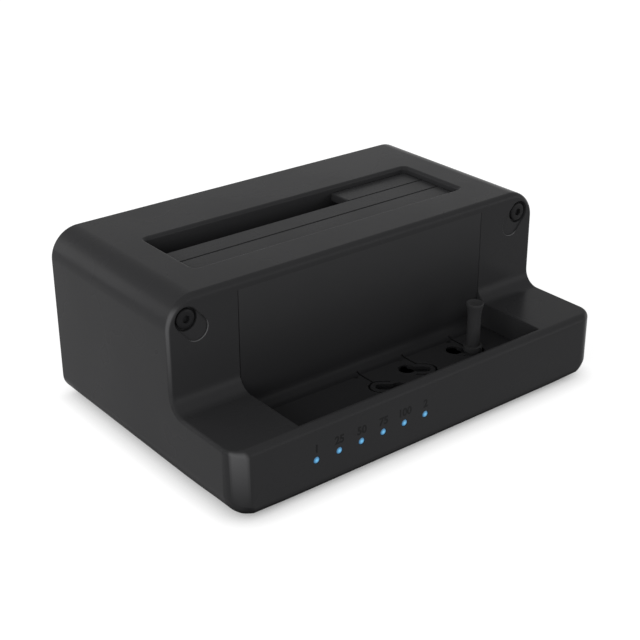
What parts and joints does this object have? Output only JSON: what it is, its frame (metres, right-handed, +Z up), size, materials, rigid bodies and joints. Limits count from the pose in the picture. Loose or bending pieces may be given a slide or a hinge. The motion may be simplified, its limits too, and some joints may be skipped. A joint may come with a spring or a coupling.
{
  "type": "hard drive docking station",
  "caption": "Desktop dock for bare drives: a tall block with a flapped top slot, and a low front deck with an open card bay, a fixing pin and a row of lights.",
  "frame": {"origin": "middle of the footprint, on the table under the rubber feet", "axes": "+X to the right along the width, +Y to the rear with the ports, +Z up out of the drive slot"},
  "size_m": [0.14, 0.0952, 0.0553],
  "materials": {
    "shell": "fine moulded grain, black",
    "inner_plastic": "moulded, black",
    "key_plastic": "satin moulded, black",
    "rubber": "matte",
    "steel": "plated",
    "dark_steel": "black oxide",
    "circuit_board": "solder mask",
    "connector": "glass-filled moulding",
    "contact_gold": "gold flash",
    "can_aluminium": "bare",
    "lamp": "clear",
    "light_pipe": "clear, lit blue",
    "ribbon_film": "film"
  },
  "bodies": {
    "dock": {"upper_housing": "shell", "base_cover": "inner_plastic", "rubber_feet": "rubber", "base_screws": "steel", "rear_panel": "inner_plastic", "bay_panel": "shell", "drive_guide": "inner_plastic", "shoulder_screws": "dark_steel", "flap_hinge_rod": "steel", "flap_springs": "steel", "main_board": "circuit_board", "board_screws": "steel", "sata_socket": "connector", "sata_contacts": "contact_gold", "sata_bridge_chip": "connector", "card_bridge_chip": "connector", "power_coils": "connector", "capacitors": "can_aluminium", "clock_crystal": "steel", "data_port_shell": "steel", "data_port_tongue": "connector", "power_inlet": "connector", "power_inlet_pin": "steel", "rocker_switch": "connector", "copy_switch": "connector", "card_board": "circuit_board", "card_socket": "connector", "card_contacts": "contact_gold", "card_board_screws": "steel", "board_header": "connector", "lamp_board": "circuit_board", "lamps": "lamp", "light_pipes": "light_pipe", "ribbon": "ribbon_film", "ribbon_sockets": "connector"},
    "flap": {"drive_flap": "shell"},
    "pin": {"fixing_pin": "inner_plastic"},
    "rocker": {"power_rocker": "key_plastic"},
    "copy_key": {"copy_button": "key_plastic", "copy_plunger": "steel"}
  },
  "joints": [
    {"name": "flap_hinge", "type": "hinge", "parent": "dock", "child": "flap", "pos_m": [0, -0.00545, 0.05075], "axis": [-1, 0, 0], "range_deg": [0, 90], "stiffness_Nm_per_rad": 0.006, "springref_deg": -45.84, "deforming": ["flap_springs"]},
    {"name": "pin_slide", "type": "slide", "parent": "dock", "child": "pin", "axis": [-0.7771, 0.6293, 0], "range_m": [0, 0.0057]},
    {"name": "rocker_tilt", "type": "hinge", "parent": "dock", "child": "rocker", "pos_m": [0.036, 0.0435, 0.0157], "axis": [0, 0, -1], "range_deg": [0, 18]},
    {"name": "copy_press", "type": "slide", "parent": "dock", "child": "copy_key", "axis": [0, -1, 0], "range_m": [0, 0.0008], "stiffness_N_per_m": 900, "springref_m": -0.0008}
  ]
}
